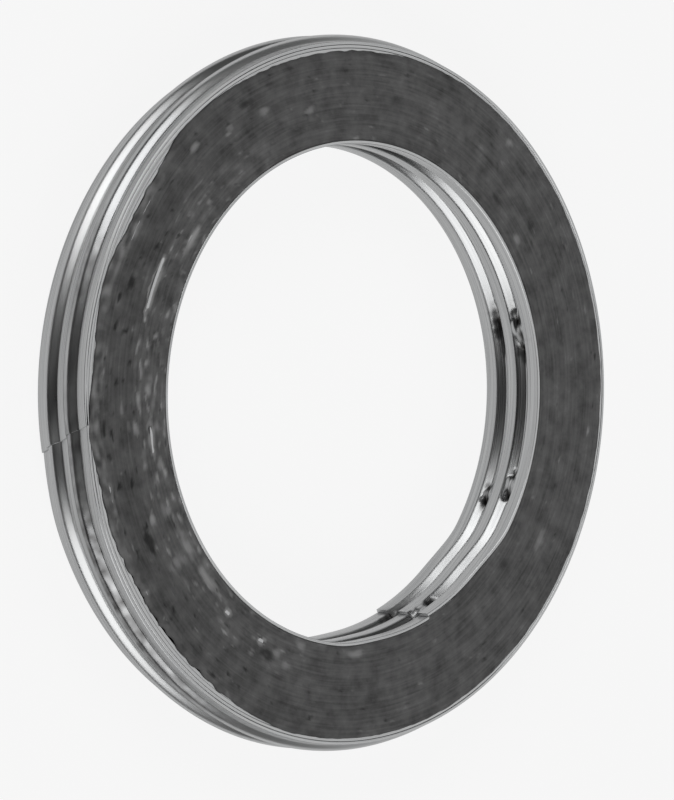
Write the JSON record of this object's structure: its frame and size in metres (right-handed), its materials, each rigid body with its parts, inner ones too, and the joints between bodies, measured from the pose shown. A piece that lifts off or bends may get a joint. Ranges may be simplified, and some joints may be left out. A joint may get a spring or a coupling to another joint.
{
  "type": "exhaust gasket",
  "caption": "Ring gasket for an exhaust port: ridged metal strip wound with a dark graphite filler, bare metal on the bore and the rim.",
  "frame": {"origin": "middle of the lower face, on the ring's axis", "axes": "+Z along the ring's axis, upwards; the ring lies flat"},
  "size_m": [0.046, 0.046, 0.005],
  "materials": {
    "steel_strip": "bright cold-rolled strip",
    "graphite_filler": "matt pressed graphite with fine marks along the winding"
  },
  "bodies": {
    "root": {"steel_strip": "steel_strip", "graphite_filler": "graphite_filler"}
  },
  "joints": []
}
